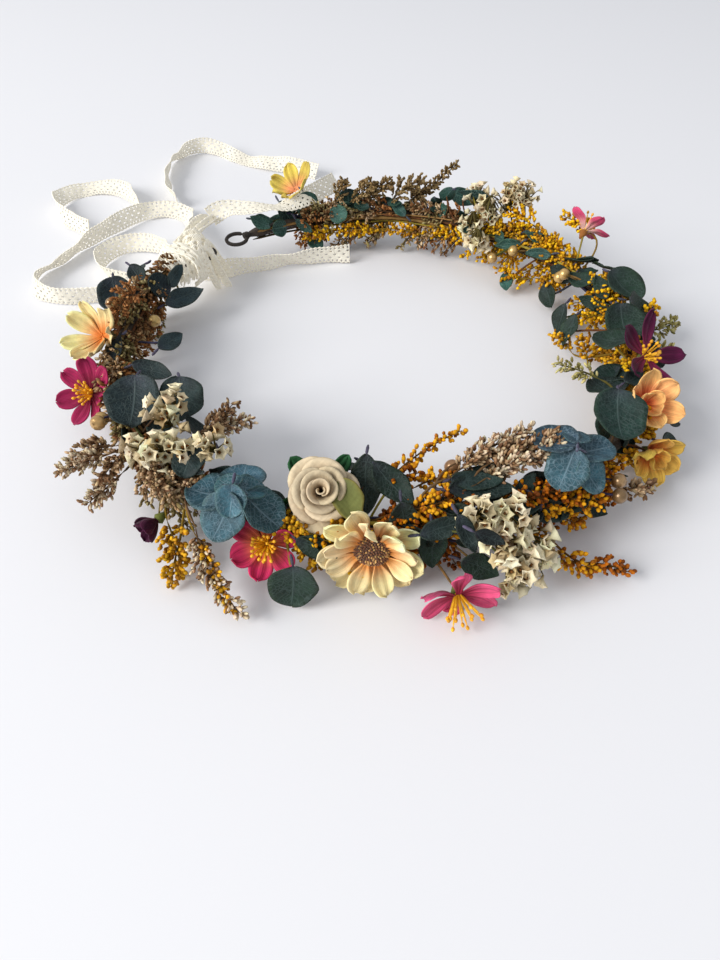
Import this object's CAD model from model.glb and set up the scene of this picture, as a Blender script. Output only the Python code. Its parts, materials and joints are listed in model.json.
"""Looks of the flower crown: dried and fabric flowers, leaves and lace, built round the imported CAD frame.

Lengths are millimetres until a piece is made, which turns them into metres. As in the CAD model, a place
round the ring is (angle from +X in degrees, radius, height), and a local +Z leans outwards from straight up.
An ink or tint is a colour of a mesh's points. A Heap gathers the small meshes of one piece, and its own
random numbers, which depend only on its name, give each leaf, petal and bud a shape of its own.
"""

import json
import math
from collections import namedtuple

import bpy
import numpy as np
from mathutils import Matrix, Vector


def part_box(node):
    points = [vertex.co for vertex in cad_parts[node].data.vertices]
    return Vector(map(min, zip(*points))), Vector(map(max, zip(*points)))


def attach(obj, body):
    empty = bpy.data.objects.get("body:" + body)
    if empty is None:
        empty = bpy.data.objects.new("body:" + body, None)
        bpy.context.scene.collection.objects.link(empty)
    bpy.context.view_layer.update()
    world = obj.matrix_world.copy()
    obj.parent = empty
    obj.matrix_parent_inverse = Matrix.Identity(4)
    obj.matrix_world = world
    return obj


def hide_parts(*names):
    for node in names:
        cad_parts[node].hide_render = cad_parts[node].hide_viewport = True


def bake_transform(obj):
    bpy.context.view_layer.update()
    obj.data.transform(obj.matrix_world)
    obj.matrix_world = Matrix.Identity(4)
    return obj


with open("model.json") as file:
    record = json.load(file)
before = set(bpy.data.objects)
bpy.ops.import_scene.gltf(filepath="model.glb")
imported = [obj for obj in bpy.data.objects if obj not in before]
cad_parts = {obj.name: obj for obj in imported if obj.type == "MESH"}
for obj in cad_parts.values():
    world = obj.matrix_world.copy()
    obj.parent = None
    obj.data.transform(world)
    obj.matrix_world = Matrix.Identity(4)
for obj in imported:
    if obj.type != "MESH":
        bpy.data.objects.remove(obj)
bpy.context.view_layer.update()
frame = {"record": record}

MM = 0.001
TAU = 2 * math.pi
UP = np.array((0.0, 0.0, 1.0))
GOLDEN = math.pi * (3 - math.sqrt(5))
FLOOR_GAP = 0.15         # lowest point of anything that lies on the table

record = frame["record"]
SLOT_OF = {part["node"]: part["material_slot"] for part in record["subparts"]}
BODY_OF = {node: body for body, nodes in record["behaviour"]["bodies"].items() for node in nodes}

wrap_low, wrap_high = (np.array(corner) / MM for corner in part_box("stem_wrap_left"))
RING_Z = (wrap_low[2] + wrap_high[2]) / 2
WRAP_R = (wrap_high[2] - wrap_low[2]) / 2
RING_R = wrap_high[0] - WRAP_R
WIRE_R = 0.9
END_ANGLES = {"left": 79.5, "right": 97.5}
FRONT_ANGLE = 270.0


# ---- numbers -------------------------------------------------------------------------------------

def rgb(red, green, blue):
    """A colour given as on a screen, 0 to 255, in the linear values that shaders take."""
    return np.array([((c / 255 + 0.055) / 1.055) ** 2.4 if c > 10 else c / 3295 for c in (red, green, blue)])


def mix(a, b, share):
    """a where share is 0, b where it is 1."""
    return a + (b - a) * share


def smooth(x):
    """An S-shaped step from 0 to 1."""
    x = np.clip(x, 0, 1)
    return x * x * (3 - 2 * x)


def unit(vectors):
    """The vectors at length 1."""
    length = np.linalg.norm(vectors, axis=-1, keepdims=True)
    return vectors / np.maximum(length, 1e-9)


def paired(*parts):
    """The parts, spread to one shape, as rows with a column for each part."""
    return np.stack(np.broadcast_arrays(*parts), axis=-1).reshape(-1, len(parts))


def ring_point(angle, radius=RING_R, height=RING_Z):
    """The point at an angle round the ring, on its centreline if not told otherwise."""
    a = math.radians(angle)
    return np.array((radius * math.cos(a), radius * math.sin(a), height))


def turned(axis, degrees):
    """A turn about an axis, as a 4 by 4 matrix."""
    return np.array(Matrix.Rotation(math.radians(degrees), 4, axis))


def shifted(offset):
    """A move by an offset, as a 4 by 4 matrix."""
    return np.array(Matrix.Translation(Vector(offset)))


def facing(angle, radius, height, lean=0.0, turn=0.0, spin=0.0):
    """A place whose local +Z leans from straight up by lean, towards azimuth angle + turn."""
    own = turned("Z", angle + turn) @ turned("Y", lean) @ turned("Z", spin)
    return shifted(ring_point(angle, radius, height)) @ own


def tube_frame(angle):
    """The directions along the ring and outwards from it at an angle."""
    outward = unit(ring_point(angle, 1.0, 0.0))
    return np.cross(UP, outward), outward


def dome(number, span, sway=0.0):
    """Directions spread evenly over a dome round +Z, each turned from the last by the golden angle."""
    polar = np.arccos(1 - span * (np.arange(number) + 0.5) / number)
    around = np.arange(number) * GOLDEN + sway
    return np.stack([np.sin(polar) * np.cos(around), np.sin(polar) * np.sin(around), np.cos(polar)], axis=1)


def along_line(line, shares):
    """The line's points at shares of its point count."""
    at = np.linspace(0, 1, len(line))
    return np.stack([np.interp(shares, at, line[:, i]) for i in range(3)], axis=1)


# ---- gathering meshes ----------------------------------------------------------------------------

HUE_SHARE = 0.22         # change of hue for each change of brightness
DARKEST = 0.3            # least brightness that a chance change may leave


class Heap:
    """Small meshes that become one piece. Every point has a colour and a mark: (along, across, chance)."""

    def __init__(self, name):
        self.name = name
        self.rng = np.random.default_rng(sum(ord(c) * (i + 1) for i, c in enumerate(name)))
        self.points = []
        self.tints = []
        self.marks = []
        self.faces = []
        self.count = 0

    def vary(self, tint, amount=0.15):
        """The tint with a chance change of brightness and a smaller one of hue."""
        shift = 1 + amount * self.rng.normal() + amount * HUE_SHARE * self.rng.normal(size=3)
        return np.clip(tint * np.maximum(shift, DARKEST), 0, 1)

    def add(self, points, faces, tint, marks=(0.5, 0.0), place=None):
        """Takes in one small mesh; tint and marks are for all its points or one for each."""
        points = np.asarray(points, float).reshape(-1, 3)
        if place is not None:
            points = points @ place[:3, :3].T + place[:3, 3]
        count = len(points)
        mark = np.full((count, 3), self.rng.random())
        mark[:, :2] = marks
        self.points.append(points)
        self.tints.append(np.broadcast_to(tint, (count, 3)))
        self.marks.append(mark)
        self.faces.append(np.asarray(faces, np.int64) + self.count)
        self.count += count

    def mesh(self):
        """The gathered meshes as one Blender mesh, in metres, clear of the table."""
        points = np.concatenate(self.points) * MM
        points[:, 2] = np.maximum(points[:, 2], FLOOR_GAP * MM)
        corners = np.concatenate([f.ravel() for f in self.faces])
        sizes = np.concatenate([np.full(len(f), f.shape[1]) for f in self.faces])
        mesh = bpy.data.meshes.new(self.name)
        mesh.vertices.add(len(points))
        mesh.vertices.foreach_set("co", points.ravel())
        mesh.loops.add(len(corners))
        mesh.loops.foreach_set("vertex_index", corners)
        mesh.polygons.add(len(sizes))
        mesh.polygons.foreach_set("loop_start", np.cumsum(sizes) - sizes)
        mesh.update(calc_edges=True)
        tints = np.concatenate([np.concatenate(self.tints), np.ones((len(points), 1))], axis=1)
        mesh.attributes.new("tint", "FLOAT_COLOR", "POINT").data.foreach_set("color", tints.ravel())
        marks = np.concatenate(self.marks)
        mesh.attributes.new("mark", "FLOAT_VECTOR", "POINT").data.foreach_set("vector", marks.ravel())
        mesh.shade_smooth()
        return mesh

    def piece(self, nodes=(), thick=0.0, blend=None):
        """Makes the Blender object that stands for the CAD nodes and rides on their body."""
        mesh = self.mesh()
        made = bpy.data.objects.new(self.name, mesh)
        bpy.context.collection.objects.link(made)
        if thick:
            solid = made.modifiers.new("thickness", "SOLIDIFY")
            solid.thickness = thick * MM
            solid.offset = 0.0
        nodes = nodes or (self.name.removesuffix("_detail"),)
        mesh.materials.append(material_of(SLOT_OF[nodes[0]]))
        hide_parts(*nodes)
        if blend:
            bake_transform(made)
        else:
            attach(made, BODY_OF[nodes[0]])
        return made


def grid_faces(rows, columns, closed=False):
    """Quads between the points of a grid; closed joins the last column to the first."""
    r = np.arange(rows - 1)[:, None]
    c = np.arange(columns if closed else columns - 1)[None, :]
    n = (c + 1) % columns
    a = r * columns + c
    b = r * columns + n
    return np.stack([a, b, b + columns, a + columns], axis=-1).reshape(-1, 4)


def lathe(profile, sides=6, lobes=0, ripple=0.0):
    """Rings (height, radius) round +Z, rippled into lobes towards the last, and each point's share of the way."""
    theta = np.arange(sides) * TAU / sides
    rings = []
    for i, (height, radius) in enumerate(profile):
        share = i / (len(profile) - 1)
        r = radius * (1 + ripple * share * np.cos(lobes * theta))
        rings.append(paired(r * np.cos(theta), r * np.sin(theta), height))
    points = np.concatenate(rings)
    shares = np.repeat(np.linspace(0, 1, len(profile)), sides)
    return points, grid_faces(len(profile), sides, closed=True), shares


def scatter(heap, shape, spots, axes, sizes, inks, root_shade=(0.55, 0.45, 0.4)):
    """Copies of one small lathe shape, its +Z along each axis; its base is shaded by root_shade."""
    points, faces, shares = shape
    spots = np.asarray(spots, float)
    axes = unit(np.asarray(axes, float))
    side = unit(np.cross(axes, heap.rng.normal(size=axes.shape)))
    other = np.cross(axes, side)
    count = len(spots)
    sizes = np.broadcast_to(sizes, (count,))[:, None, None]
    local = points[None, :, 0:1] * side[:, None] + points[None, :, 1:2] * other[:, None]
    local = local + points[None, :, 2:3] * axes[:, None]
    placed = spots[:, None] + sizes * local
    copies = faces[None] + (np.arange(count) * len(points))[:, None, None]
    inks = np.broadcast_to(inks, (count, 3))
    shade = mix(np.array(root_shade), np.ones(3), smooth(shares * 1.6)[:, None])
    change = 1 + 0.16 * heap.rng.normal(size=(count, 1, 1)) + 0.025 * heap.rng.normal(size=(count, 1, 3))
    tints = np.clip(inks[:, None] * shade[None] * change, 0, 1)
    marks = np.zeros((count, len(points), 2))
    marks[..., 0] = shares
    heap.add(placed.reshape(-1, 3), copies.reshape(-1, faces.shape[1]), tints.reshape(-1, 3),
             marks.reshape(-1, 2))


def frames_along(line):
    """Tangent, side and other side at each point of a line, without twist."""
    tangents = unit(np.gradient(line, axis=0))
    sides = []
    side = np.cross(tangents[0], UP if abs(tangents[0][2]) < 0.9 else np.array((1.0, 0, 0)))
    for tangent in tangents:
        side = unit(side - tangent * (side @ tangent))
        sides.append(side)
    sides = np.array(sides)
    return tangents, sides, np.cross(tangents, sides)


def circles_along(line, sides):
    """Angles round a line, and the directions away from it at those angles at each of its points."""
    _, side, other = frames_along(line)
    theta = np.arange(sides) * TAU / sides
    return theta, side[:, None] * np.cos(theta)[None, :, None] + other[:, None] * np.sin(theta)[None, :, None]


TUBE_END = 0.3           # radius of a stem's first and last ring over that of the stem


def tube(heap, line, radius, tint, sides=5, taper=1.0, knobs=0.0):
    """A round stem along a line; taper is its end's radius over its root's."""
    line = np.asarray(line, float)
    share = np.linspace(0, 1, len(line))
    radii = radius * mix(1.0, taper, share) * (1 + knobs * heap.rng.normal(size=len(line)))
    radii[[0, -1]] *= TUBE_END
    theta, circles = circles_along(line, sides)
    points = line[:, None] + radii[:, None, None] * circles
    heap.add(points, grid_faces(len(line), sides, closed=True), tint, paired(share[:, None], theta / TAU))


def arch(start, end, lift=0.0, steps=8, wander=0.0, rng=None):
    """Points of a curved line from start to end that rises by lift in the middle."""
    share = np.linspace(0, 1, steps)[:, None]
    line = mix(np.asarray(start, float), np.asarray(end, float), share)
    line = line + UP * lift * 4 * share * (1 - share)
    if wander:
        bow = rng.normal(size=3) * wander
        line = line + bow * np.sin(math.pi * share)
    return line


def bent(start, control, end, steps=9):
    """A curve that leaves start towards control and comes into end from it."""
    share = np.linspace(0, 1, steps)[:, None]
    return mix(mix(start, control, share), mix(control, end, share), share)


# ---- node materials ------------------------------------------------------------------------------

class Shading:
    """A node material that starts from the colours of the mesh and adds grain to them.

    Scales are cells for each metre, or for each unit of the mesh's marks when those are the source.
    """

    def __init__(self, name, roughness, **sockets):
        self.material = bpy.data.materials.new(name + "_look")
        self.material.use_nodes = True
        self.tree = self.material.node_tree
        self.shader = self.tree.nodes["Principled BSDF"]
        self.shader.inputs["Roughness"].default_value = roughness
        for socket, value in sockets.items():
            self.shader.inputs[socket.replace("_", " ")].default_value = value
        self.place = self.node("TexCoord").outputs["Object"]
        self.mark = self.attribute("mark", "Vector")
        self.colour = self.attribute("tint", "Color")
        self.split = self.node("SeparateXYZ", {"Vector": self.mark})
        self.height = None

    def node(self, kind, inputs=None, **settings):
        """A node with its settings, and its inputs linked or set."""
        made = self.tree.nodes.new("ShaderNode" + kind)
        for key, value in settings.items():
            setattr(made, key, value)
        for key, value in (inputs or {}).items():
            if isinstance(value, bpy.types.NodeSocket):
                self.tree.links.new(value, made.inputs[key])
            else:
                made.inputs[key].default_value = value
        return made

    def attribute(self, name, output):
        """A colour or vector that the points of the mesh carry."""
        return self.node("Attribute", attribute_name=name).outputs[output]

    def stretched(self, source, scale):
        """The coordinates scaled along each axis."""
        return self.node("Mapping", {"Vector": source, "Scale": scale}).outputs["Vector"]

    def noise(self, scale, detail=4.0, source=None, stretch=None):
        """Noise from 0 to 1, by the piece's own coordinates if no source is given."""
        at = source or self.place
        if stretch:
            at = self.stretched(at, stretch)
        inputs = {"Vector": at, "Scale": scale, "Detail": detail}
        return self.node("TexNoise", inputs).outputs["Fac"]

    def cells(self, scale, feature="F1"):
        """A Voronoi pattern of cells."""
        inputs = {"Vector": self.place, "Scale": scale}
        return self.node("TexVoronoi", inputs, feature=feature).outputs["Distance"]

    def math(self, operation, a, b=0.0):
        """The result of a Math node."""
        return self.node("Math", {0: a, 1: b}, operation=operation).outputs[0]

    def ranged(self, value, low, high, to_low=0.0, to_high=1.0):
        """value's range from low to high moved to the one from to_low to to_high."""
        inputs = {"Value": value, "From Min": low, "From Max": high, "To Min": to_low, "To Max": to_high}
        return self.node("MapRange", inputs).outputs["Result"]

    def tinted(self, colour, share):
        """Mixes a colour over what is there by a share from 0 to 1."""
        made = self.node("Mix", data_type="RGBA")
        self.tree.links.new(self.colour, made.inputs["A"])
        made.inputs["B"].default_value = (*colour, 1.0)
        self.tree.links.new(share, made.inputs["Factor"])
        self.colour = made.outputs["Result"]

    def shaded(self, value, dark, light):
        """Multiplies the colour by a grey from dark to light, as value goes from 0 to 1."""
        grey = self.ranged(value, 0.25, 0.75, dark, light)
        made = self.node("Mix", data_type="RGBA", blend_type="MULTIPLY")
        made.inputs["Factor"].default_value = 1.0
        self.tree.links.new(self.colour, made.inputs["A"])
        self.tree.links.new(grey, made.inputs["B"])
        self.colour = made.outputs["Result"]

    def bumped(self, value, strength, distance=0.0004):
        """Adds relief of value, at most distance in metres high, to what there is."""
        inputs = {"Height": value, "Strength": strength, "Distance": distance}
        if self.height:
            inputs["Normal"] = self.height
        self.height = self.node("Bump", inputs).outputs["Normal"]

    def done(self):
        """The finished material."""
        self.tree.links.new(self.colour, self.shader.inputs["Base Color"])
        if self.height:
            self.tree.links.new(self.height, self.shader.inputs["Normal"])
        return self.material


def leaf_look(name, vein, vein_share, roughness, mottle):
    """Preserved leaf: a midrib, side veins, a fine net of pale veins and a mottled satin surface."""
    look = Shading(name, roughness, Specular_IOR_Level=0.22)
    look.shaded(look.noise(260, 5), 1 - mottle, 1 + mottle)
    look.shaded(look.noise(1900, 4), 0.72, 1.28)
    across = look.math("ABSOLUTE", look.split.outputs["Y"])
    midrib = look.ranged(across, 0.0, 0.07, 1.0, 0.0)
    slant = look.math("SUBTRACT", look.math("MULTIPLY", look.split.outputs["X"], 7.0),
                      look.math("MULTIPLY", across, 2.0))
    stripe = look.math("SINE", look.math("MULTIPLY", slant, TAU))
    side_veins = look.ranged(stripe, 0.86, 1.0, 0.0, 0.5)
    net = look.ranged(look.cells(900, "DISTANCE_TO_EDGE"), 0.0, 0.12, 0.9, 0.0)
    broken = look.ranged(look.noise(300, 3), 0.35, 0.6)
    veins = look.math("MAXIMUM", look.math("MAXIMUM", midrib, side_veins), look.math("MULTIPLY", net, broken))
    look.tinted(vein, look.math("MULTIPLY", veins, vein_share))
    look.bumped(veins, 0.5)
    look.bumped(look.noise(900, 4), 0.35, 0.0006)
    return look.done()


def petal_look(name, streak):
    """Pressed fabric petal: lengthwise streaks, a fine cloth weave and a soft sheen."""
    look = Shading(name, 0.75, Sheen_Weight=0.08, Specular_IOR_Level=0.15)
    streaks = look.noise(5, 4, look.mark, (0.3, 3.2, 40.0))
    look.shaded(streaks, 1 - streak * 1.6, 1 + streak)
    look.shaded(look.noise(420, 4), 0.80, 1.14)
    weave = look.math("MULTIPLY", look.noise(5200, 1, None, (1.0, 0.25, 1.0)),
                      look.noise(5200, 1, None, (0.25, 1.0, 1.0)))
    look.bumped(streaks, 0.45, 0.0005)
    look.bumped(weave, 0.4, 0.0003)
    return look.done()


def paper_look(name):
    """Mulberry paper: long pale fibres pressed in every direction."""
    look = Shading(name, 0.85, Specular_IOR_Level=0.2)
    fibres = look.noise(900, 4, None, (1.0, 0.2, 0.5))
    cross = look.noise(900, 4, None, (0.2, 1.0, 0.6))
    look.shaded(look.math("MULTIPLY", look.math("ADD", fibres, cross), 0.5), 0.66, 1.22)
    look.bumped(fibres, 0.5)
    look.bumped(cross, 0.4)
    return look.done()


def lace_look(name):
    """Cotton lace: twisted threads along and across the band, and the light that comes through them."""
    look = Shading(name, 0.85, Sheen_Weight=0.05, Specular_IOR_Level=0.1)
    look.shaded(look.noise(160, 3), 0.93, 1.04)
    along = look.math("SINE", look.math("MULTIPLY", look.split.outputs["X"], TAU / THREAD_PITCH))
    across = look.math("SINE", look.math("MULTIPLY", look.split.outputs["Y"], TAU * THREAD_ROWS))
    threads = look.math("MULTIPLY", along, across)
    look.shaded(look.ranged(threads, -1.0, 1.0, 0.2, 0.8), 0.9, 1.05)
    look.bumped(threads, 0.6, 0.0003)
    look.bumped(look.noise(3500, 2), 0.3, 0.0002)
    look.shader.inputs["Emission Strength"].default_value = LACE_GLOW
    look.tree.links.new(look.colour, look.shader.inputs["Emission Color"])
    return look.done()


def straw_look(name, grain=0.22, roughness=0.8):
    """Dried plant matter: lengthwise fibres and a dusty mottling."""
    look = Shading(name, roughness, Specular_IOR_Level=0.12)
    look.shaded(look.noise(700, 4), 1 - grain, 1 + grain)
    look.shaded(look.noise(9, 4, look.mark, (0.4, 6.0, 30.0)), 0.84, 1.14)
    look.bumped(look.noise(3000, 3, None, (1.0, 1.0, 0.3)), 0.4)
    return look.done()


def wire_look(name):
    """Wire wound with a narrow paper strip."""
    look = Shading(name, 0.7)
    turns = look.math("SINE", look.math("MULTIPLY", look.split.outputs["X"], 900.0))
    look.shaded(look.ranged(turns, -1.0, 1.0), 0.7, 1.1)
    look.shaded(look.noise(900, 4), 0.8, 1.2)
    look.bumped(turns, 0.4, 0.0003)
    return look.done()


def tape_look(name):
    """Waxed crepe paper tape with fine wrinkles across it."""
    look = Shading(name, 0.55, Coat_Weight=0.1)
    creases = look.noise(34, 4, look.mark, (60.0, 1.2, 1.0))
    look.shaded(creases, 0.6, 1.3)
    look.shaded(look.noise(300, 3), 0.7, 1.25)
    look.bumped(creases, 0.7, 0.0005)
    return look.done()


def seed_look(name):
    """Flocked disc of small seeds."""
    look = Shading(name, 0.95, Sheen_Weight=0.2)
    look.shaded(look.noise(1800, 4), 0.6, 1.4)
    look.bumped(look.cells(2600), 0.7)
    return look.done()


def stamen_look(name):
    """Waxed thread with a faintly grainy skin."""
    look = Shading(name, 0.5)
    look.shaded(look.noise(1300, 3), 0.85, 1.12)
    look.bumped(look.noise(4200, 2), 0.4)
    return look.done()


def pip_look(name):
    """Pearl paint over a bead: metallic flakes under a clear coat."""
    look = Shading(name, 0.32, Metallic=0.55, Coat_Weight=0.4, Coat_Roughness=0.25)
    look.shaded(look.noise(900, 4), 0.75, 1.2)
    look.shaded(look.cells(5200), 0.9, 1.1)
    look.bumped(look.noise(2500, 3), 0.15)
    return look.done()


LOOKS = {
    # material slot of the record: what makes its look, and the numbers of that look
    "covered_wire": (wire_look,),
    "floral_tape": (tape_look,),
    "lace": (lace_look,),
    "rose_paper": (paper_look,),
    "green_paper": (paper_look,),
    "cream_fabric": (petal_look, 0.14),
    "yellow_fabric": (petal_look, 0.15),
    "magenta_fabric": (petal_look, 0.35),
    "pink_fabric": (petal_look, 0.3),
    "purple_fabric": (petal_look, 0.4),
    "peach_fabric": (petal_look, 0.2),
    "seed_disc": (seed_look,),
    "stamen": (stamen_look,),
    "eucalyptus": (leaf_look, (0.24, 0.35, 0.42), 0.55, 0.5, 0.5),
    "dark_leaf": (leaf_look, (0.085, 0.12, 0.115), 0.5, 0.55, 0.45),
    "teal_leaf": (leaf_look, (0.18, 0.32, 0.28), 0.5, 0.5, 0.4),
    "dry_grass": (straw_look,),
    "limonium": (straw_look, 0.16),
    "goldenrod": (straw_look, 0.16, 0.62),
    "statice": (straw_look, 0.1, 0.7),
    "stalk": (straw_look, 0.3, 0.65),
    "gold_pip": (pip_look,),
}
made_materials = {}


def material_of(slot):
    """The material for a slot of the record, made once."""
    if slot not in made_materials:
        look, *numbers = LOOKS[slot]
        made_materials[slot] = look(slot, *numbers)
    return made_materials[slot]


# ---- camera, floor and light ---------------------------------------------------------------------

CAMERA_PLACE = (-0.1464, -0.1236, 0.1506)
CAMERA_TURN = (42.1, 0.0, -48.0)
CAMERA_LENS = 24.375
FLOOR_HALF = 6.0         # metres
FLOOR_TINT = (0.80, 0.80, 0.83, 1.0)
ROOM_TINT = (0.93, 0.96, 1.0, 1.0)
ROOM_STRENGTH = 0.60
WINDOW_PLACE = (-1.95, 0.85, 1.35)
WINDOW_TINT = (1.0, 0.985, 0.955)
WINDOW_SIZE = 1.3
WINDOW_WATTS = 70.0


def build_camera():
    """The camera at the photograph's viewing angle."""
    data = bpy.data.cameras.new("camera")
    data.lens = CAMERA_LENS
    data.sensor_width = 36.0
    data.clip_start = 0.005
    camera = bpy.data.objects.new("camera", data)
    camera.location = CAMERA_PLACE
    camera.rotation_euler = [math.radians(a) for a in CAMERA_TURN]
    bpy.context.collection.objects.link(camera)
    bpy.context.scene.camera = camera


def build_floor():
    """A plain pale floor."""
    mesh = bpy.data.meshes.new("floor")
    corners = [(x * FLOOR_HALF, y * FLOOR_HALF, 0) for x, y in ((-1, -1), (1, -1), (1, 1), (-1, 1))]
    mesh.from_pydata(corners, [], [(0, 1, 2, 3)])
    floor = bpy.data.objects.new("floor", mesh)
    bpy.context.collection.objects.link(floor)
    paint = bpy.data.materials.new("floor_paint")
    paint.use_nodes = True
    shader = paint.node_tree.nodes["Principled BSDF"]
    shader.inputs["Base Color"].default_value = FLOOR_TINT
    shader.inputs["Roughness"].default_value = 0.6
    mesh.materials.append(paint)


def build_light():
    """Window light from the left of the view and the even light of a white room."""
    world = bpy.data.worlds.new("studio")
    world.use_nodes = True
    background = world.node_tree.nodes["Background"]
    background.inputs["Color"].default_value = ROOM_TINT
    background.inputs["Strength"].default_value = ROOM_STRENGTH
    bpy.context.scene.world = world
    bpy.context.scene.view_settings.view_transform = "Standard"
    data = bpy.data.lights.new("window", "AREA")
    data.energy = WINDOW_WATTS
    data.size = WINDOW_SIZE
    data.color = WINDOW_TINT
    light = bpy.data.objects.new("window", data)
    light.location = WINDOW_PLACE
    light.rotation_euler = (Vector((0.0, 0.0, 0.02)) - light.location).to_track_quat("-Z", "Y").to_euler()
    bpy.context.collection.objects.link(light)


# ---- lace ribbon ---------------------------------------------------------------------------------

LACE_W = 9.0
LACE_SHOWN = 0.92        # share of the width that shows, as its edges pull in
LACE_T = 0.35
LACE_STEP = 0.24         # length of one cell of the lace's mesh
KNOT_STEP = 0.36         # the same in the knot
LACE_COLUMNS = 41
HOLE_PITCH = 1.9         # distance between two eyelets in a row
# rows of holes: place across the band from -1 to 1, and shift along it in pitches
EYELET_ROWS = ((-0.72, 0.0), (0.72, 0.5))
NET_ROWS = ((-0.36, 0.25), (0.0, 0.75), (0.36, 0.25))
THREAD_PITCH = 0.55      # distance between two threads across the band
THREAD_ROWS = 9          # threads along the band in half its width
LACE_REST = 4.8          # height of the band's middle where it stands on the table
LACE_TINT = rgb(252, 246, 230)
LACE_GLOW = 0.16         # light that comes through the thin cotton from behind

LACE_ROUTES = {
    "lace_tail_low": [
        (-5, 96.5, 18), (2, 107, 14), (8.5, 117, 10.5), (14.5, 126, 7.5), (20, 134, 5.6), (26, 143.5, 4.8),
        (24.5, 153.5, 4.8), (16.5, 160, 4.8), (5, 161, 4.8), (-8, 158, 4.8), (-22, 156, 4.8),
        (-36, 150, 4.8), (-50, 148, 4.8), (-59, 139, 4.8), (-58, 126, 4.8), (-50, 117, 4.8),
        (-41, 109.5, 4.8), (-35, 103, 4.8)],
    "lace_tail_loop": [
        (14, 166, 4.8), (18, 177, 4.8), (20, 188, 4.8), (18, 198, 4.8), (11.5, 205.5, 4.8), (2, 208, 4.8),
        (-7.5, 204.5, 4.8), (-13.5, 196.5, 4.8), (-16, 186, 4.8), (-17, 175, 4.8), (-15.5, 164, 4.8)],
    "lace_tail_high": [
        (29.5, 157, 4.8), (34, 169, 4.8), (42, 181, 4.8), (52, 193, 4.8), (62, 202, 4.8), (73, 206, 4.8),
        (83, 202, 4.8), (88, 192, 4.8), (88.5, 181, 4.8), (90, 168, 4.8), (93, 155, 4.8), (99, 143, 4.8),
        (102, 131, 4.8)],
    "lace_bow_loop": [
        (-12, 98.5, 14), (-8, 108, 10.5), (-5, 118, 7), (-3, 129, 5), (-8, 137.5, 4.8), (-16.5, 141.5, 4.8),
        (-25.5, 139.5, 4.8), (-31, 132, 4.8), (-33, 122.5, 4.8), (-31.5, 113, 4.8), (-26, 105.5, 4.8),
        (-18, 101.5, 5.0)],
    "lace_inner_tail": [
        (-4, 95, 4.8), (3, 90, 4.8), (13, 83.5, 4.8), (26, 76, 4.8), (38, 68, 4.8), (49, 58.5, 4.8)],
    "lace_drape": [
        (9, 101.5, 21.5), (13, 100.5, 23.2), (17, 97, 24.5), (20.5, 90.5, 25), (25, 84, 25), (33, 80, 25),
        (43, 79, 25), (54, 79.5, 25), (66, 82, 24)],
}
LACE_LEAN = {
    # degrees from standing upright, at even spaces along the band
    "lace_tail_low": (35, 10, -25, -55, -40, -10, 25, 45, 15, -15, 10),
    "lace_tail_loop": (10, -20, -50, -65, -45, 5, 35, 10),
    "lace_tail_high": (10, 25, 10, -20, -40, -15, 35, 65, 75, 50, 25, 45),
    "lace_bow_loop": (30, 5, -15, -35, -20, 5, 15),
    "lace_inner_tail": (20, 5, -15, -25, -10, 10),
    "lace_drape": (25, 60, 85, 95, 70, 40, 50, 35),
}


def spline_line(name, route):
    """The smooth line of a route: points read from its NURBS spline, in metres."""
    curve = bpy.data.curves.new(name + "_route", "CURVE")
    curve.dimensions = "3D"
    curve.resolution_u = 24
    spline = curve.splines.new("NURBS")
    spline.points.add(len(route) - 1)
    for point, place in zip(spline.points, route):
        point.co = (*(c * MM for c in place), 1.0)
    spline.order_u = 3
    spline.use_endpoint_u = True
    holder = bpy.data.objects.new(name + "_route", curve)
    mesh = bpy.data.meshes.new_from_object(holder)
    points = [tuple(v.co) for v in mesh.vertices]
    bpy.data.meshes.remove(mesh)
    bpy.data.objects.remove(holder)
    bpy.data.curves.remove(curve)
    return points


def evenly(line, step):
    """The line's points at an even spacing, with the distance of each from the start."""
    travelled = np.concatenate([[0], np.cumsum(np.linalg.norm(np.diff(line, axis=0), axis=1))])
    distance = np.linspace(0, travelled[-1], max(int(travelled[-1] / step), 2))
    even = np.stack([np.interp(distance, travelled, line[:, i]) for i in range(3)], axis=1)
    return even, distance


def lace_keeps(distance, across):
    """Whether there is thread: eyelets inside each firm edge and a fine diamond net between them."""
    pitch = distance / HOLE_PITCH
    kept = np.ones(np.broadcast(distance, across).shape, bool)
    for row, shift in EYELET_ROWS:
        eyelet = np.cos(TAU * (pitch + shift)) - ((across - row) / 0.16) ** 2
        kept &= eyelet < 0.35
    for row, shift in NET_ROWS:
        diamond = np.cos(TAU * (pitch * 0.5 + shift)) - np.abs(across - row) / 0.11
        kept &= diamond < 0.22
    return kept


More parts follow.
